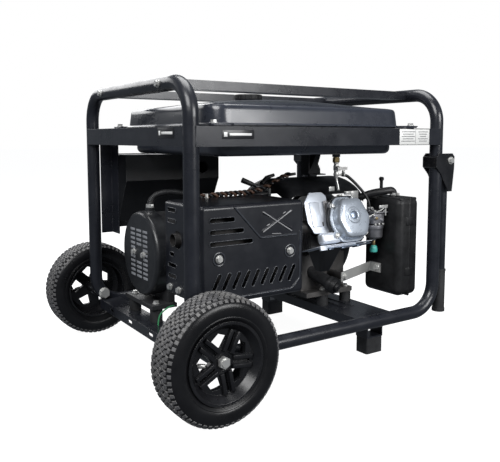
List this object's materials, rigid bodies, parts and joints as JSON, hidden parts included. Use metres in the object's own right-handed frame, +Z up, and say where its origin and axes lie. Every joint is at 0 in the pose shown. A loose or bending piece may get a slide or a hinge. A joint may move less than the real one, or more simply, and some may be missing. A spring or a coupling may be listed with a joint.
{
  "type": "portable generator",
  "caption": "Open tube frame generator with a steel fuel tank, a side-valve-cover engine, a guarded muffler, an alternator, transport wheels and folding arms.",
  "frame": {"origin": "middle of the whole object's footprint, on the ground", "axes": "+X along the machine from the wheel end to the folding arms, +Y towards the control panel, +Z up"},
  "size_m": [0.8625, 0.768, 0.667],
  "materials": {
    "frame_paint": "satin powder coat",
    "bracket_paint": "gloss coat",
    "zinc": "zinc plate",
    "foot_rubber": "matte",
    "tyre_rubber": "matte",
    "rim_plastic": "satin",
    "tank_paint": "satin",
    "black_plastic": "fine texture",
    "tap_brass": "plain",
    "bright_alloy": "bare",
    "case_casting": "bead blasted casting",
    "cover_chrome": "polished",
    "sheet_black": "satin",
    "shaft_steel": "machined",
    "plug_ceramic": "glazed",
    "muffler_steel": "aluminised",
    "vent_grey": "satin",
    "panel_face": "satin",
    "outlet_plastic": "gloss",
    "earth_green": "plain"
  },
  "bodies": {
    "frame": {"wheel_end_hoop": "frame_paint", "handle_end_hoop": "frame_paint", "tank_rails": "frame_paint", "top_bars": "frame_paint", "cross_channels": "frame_paint", "frame_brackets": "frame_paint", "handle_brackets": "bracket_paint", "top_bar_bolts": "zinc", "flange_bolts": "zinc", "wheel_axle_bolts": "zinc", "handle_pivot_bolts": "zinc", "air_cleaner_strap": "zinc", "head_shields": "zinc", "rubber_feet": "foot_rubber", "rubber_mounts": "foot_rubber", "fuel_hose": "foot_rubber", "breather_hose": "foot_rubber", "tank_upper_shell": "tank_paint", "tank_lower_shell": "tank_paint", "air_cleaner_box": "black_plastic", "wiring_harness": "black_plastic", "petcock_body": "tap_brass", "carburettor": "bright_alloy", "crankcase": "case_casting", "cylinder": "case_casting", "cylinder_head": "case_casting", "oil_filler_neck": "case_casting", "alternator_housing": "case_casting", "rocker_cover": "cover_chrome", "lower_cowl": "sheet_black", "fan_shroud": "sheet_black", "tank_stay": "sheet_black", "recoil_housing": "sheet_black", "muffler_guard": "sheet_black", "control_box": "sheet_black", "spark_plug": "plug_ceramic", "muffler": "muffler_steel", "alternator_end_cover": "vent_grey", "control_panel": "panel_face", "outlets": "outlet_plastic", "earth_lead": "earth_green"},
    "exhaust_side_wheel": {"exhaust_side_tyre": "tyre_rubber", "exhaust_side_rim": "rim_plastic"},
    "panel_side_wheel": {"panel_side_tyre": "tyre_rubber", "panel_side_rim": "rim_plastic"},
    "exhaust_side_arm": {"exhaust_side_handle": "frame_paint", "exhaust_side_grip": "foot_rubber"},
    "panel_side_arm": {"panel_side_handle": "frame_paint", "panel_side_grip": "foot_rubber"},
    "engine_shaft": {"crankshaft": "shaft_steel", "flywheel": "shaft_steel", "rotor": "shaft_steel"},
    "filler_cap": {"fuel_cap": "black_plastic"},
    "tap_lever": {"petcock_lever": "bright_alloy"},
    "choke": {"choke_lever": "black_plastic"},
    "starter_grip": {"recoil_grip": "foot_rubber"},
    "starter_reel": {"recoil_reel": "bright_alloy"},
    "oil_filler_cap": {"oil_cap": "black_plastic"},
    "breaker": {"breaker_switch": "black_plastic"},
    "ignition_switch": {"engine_switch": "black_plastic"}
  },
  "joints": [
    {"name": "exhaust_side_wheel_spin", "type": "hinge", "parent": "frame", "child": "exhaust_side_wheel", "pos_m": [-0.30625, -0.344, 0.125], "axis": [0, 1, 0], "continuous": true},
    {"name": "exhaust_side_arm_fold", "type": "hinge", "parent": "frame", "child": "exhaust_side_arm", "pos_m": [0.41475, -0.267, 0.484], "axis": [0, -1, 0], "range_deg": [0, 90]},
    {"name": "panel_side_wheel_spin", "type": "hinge", "parent": "frame", "child": "panel_side_wheel", "pos_m": [-0.30625, 0.344, 0.125], "axis": [0, 1, 0], "continuous": true},
    {"name": "panel_side_arm_fold", "type": "hinge", "parent": "frame", "child": "panel_side_arm", "pos_m": [0.41475, 0.267, 0.484], "axis": [0, -1, 0], "range_deg": [0, 90]},
    {"name": "engine_spin", "type": "hinge", "parent": "frame", "child": "engine_shaft", "pos_m": [0.02975, 0.055, 0.263], "axis": [1, 0, 0], "continuous": true},
    {"name": "filler_cap_turn", "type": "hinge", "parent": "frame", "child": "filler_cap", "pos_m": [-0.01025, 0, 0.642], "axis": [0, 0, 1], "range_deg": [0, 90]},
    {"name": "tap_turn", "type": "hinge", "parent": "frame", "child": "tap_lever", "pos_m": [0.15575, -0.162, 0.465], "axis": [0, 1, 0], "range_deg": [0, 90]},
    {"name": "choke_swing", "type": "hinge", "parent": "frame", "child": "choke", "pos_m": [0.31575, -0.15, 0.397], "axis": [0, 1, 0], "range_deg": [0, 50]},
    {"name": "starter_pull", "type": "slide", "parent": "frame", "child": "starter_grip", "axis": [0, 1, 0], "range_m": [0, 0.5]},
    {"name": "starter_reel_turn", "type": "hinge", "parent": "frame", "child": "starter_reel", "pos_m": [0.30075, 0.055, 0.263], "axis": [-1, 0, 0], "range_deg": [0, 531.5]},
    {"name": "oil_cap_turn", "type": "hinge", "parent": "frame", "child": "oil_filler_cap", "pos_m": [0.15159, -0.14503, 0.16767], "axis": [0.3505, -0.8512, -0.3906], "range_deg": [0, 360]},
    {"name": "breaker_throw", "type": "hinge", "parent": "frame", "child": "breaker", "pos_m": [-0.03625, 0.2865, 0.379], "axis": [1, 0, 0], "range_deg": [0, 16]},
    {"name": "ignition_throw", "type": "hinge", "parent": "frame", "child": "ignition_switch", "pos_m": [-0.03625, 0.2865, 0.451], "axis": [1, 0, 0], "range_deg": [0, 16]}
  ],
  "couplings": [
    {"joint": "starter_reel_turn", "follows": "starter_pull", "rad_per_m": 18.518}
  ]
}
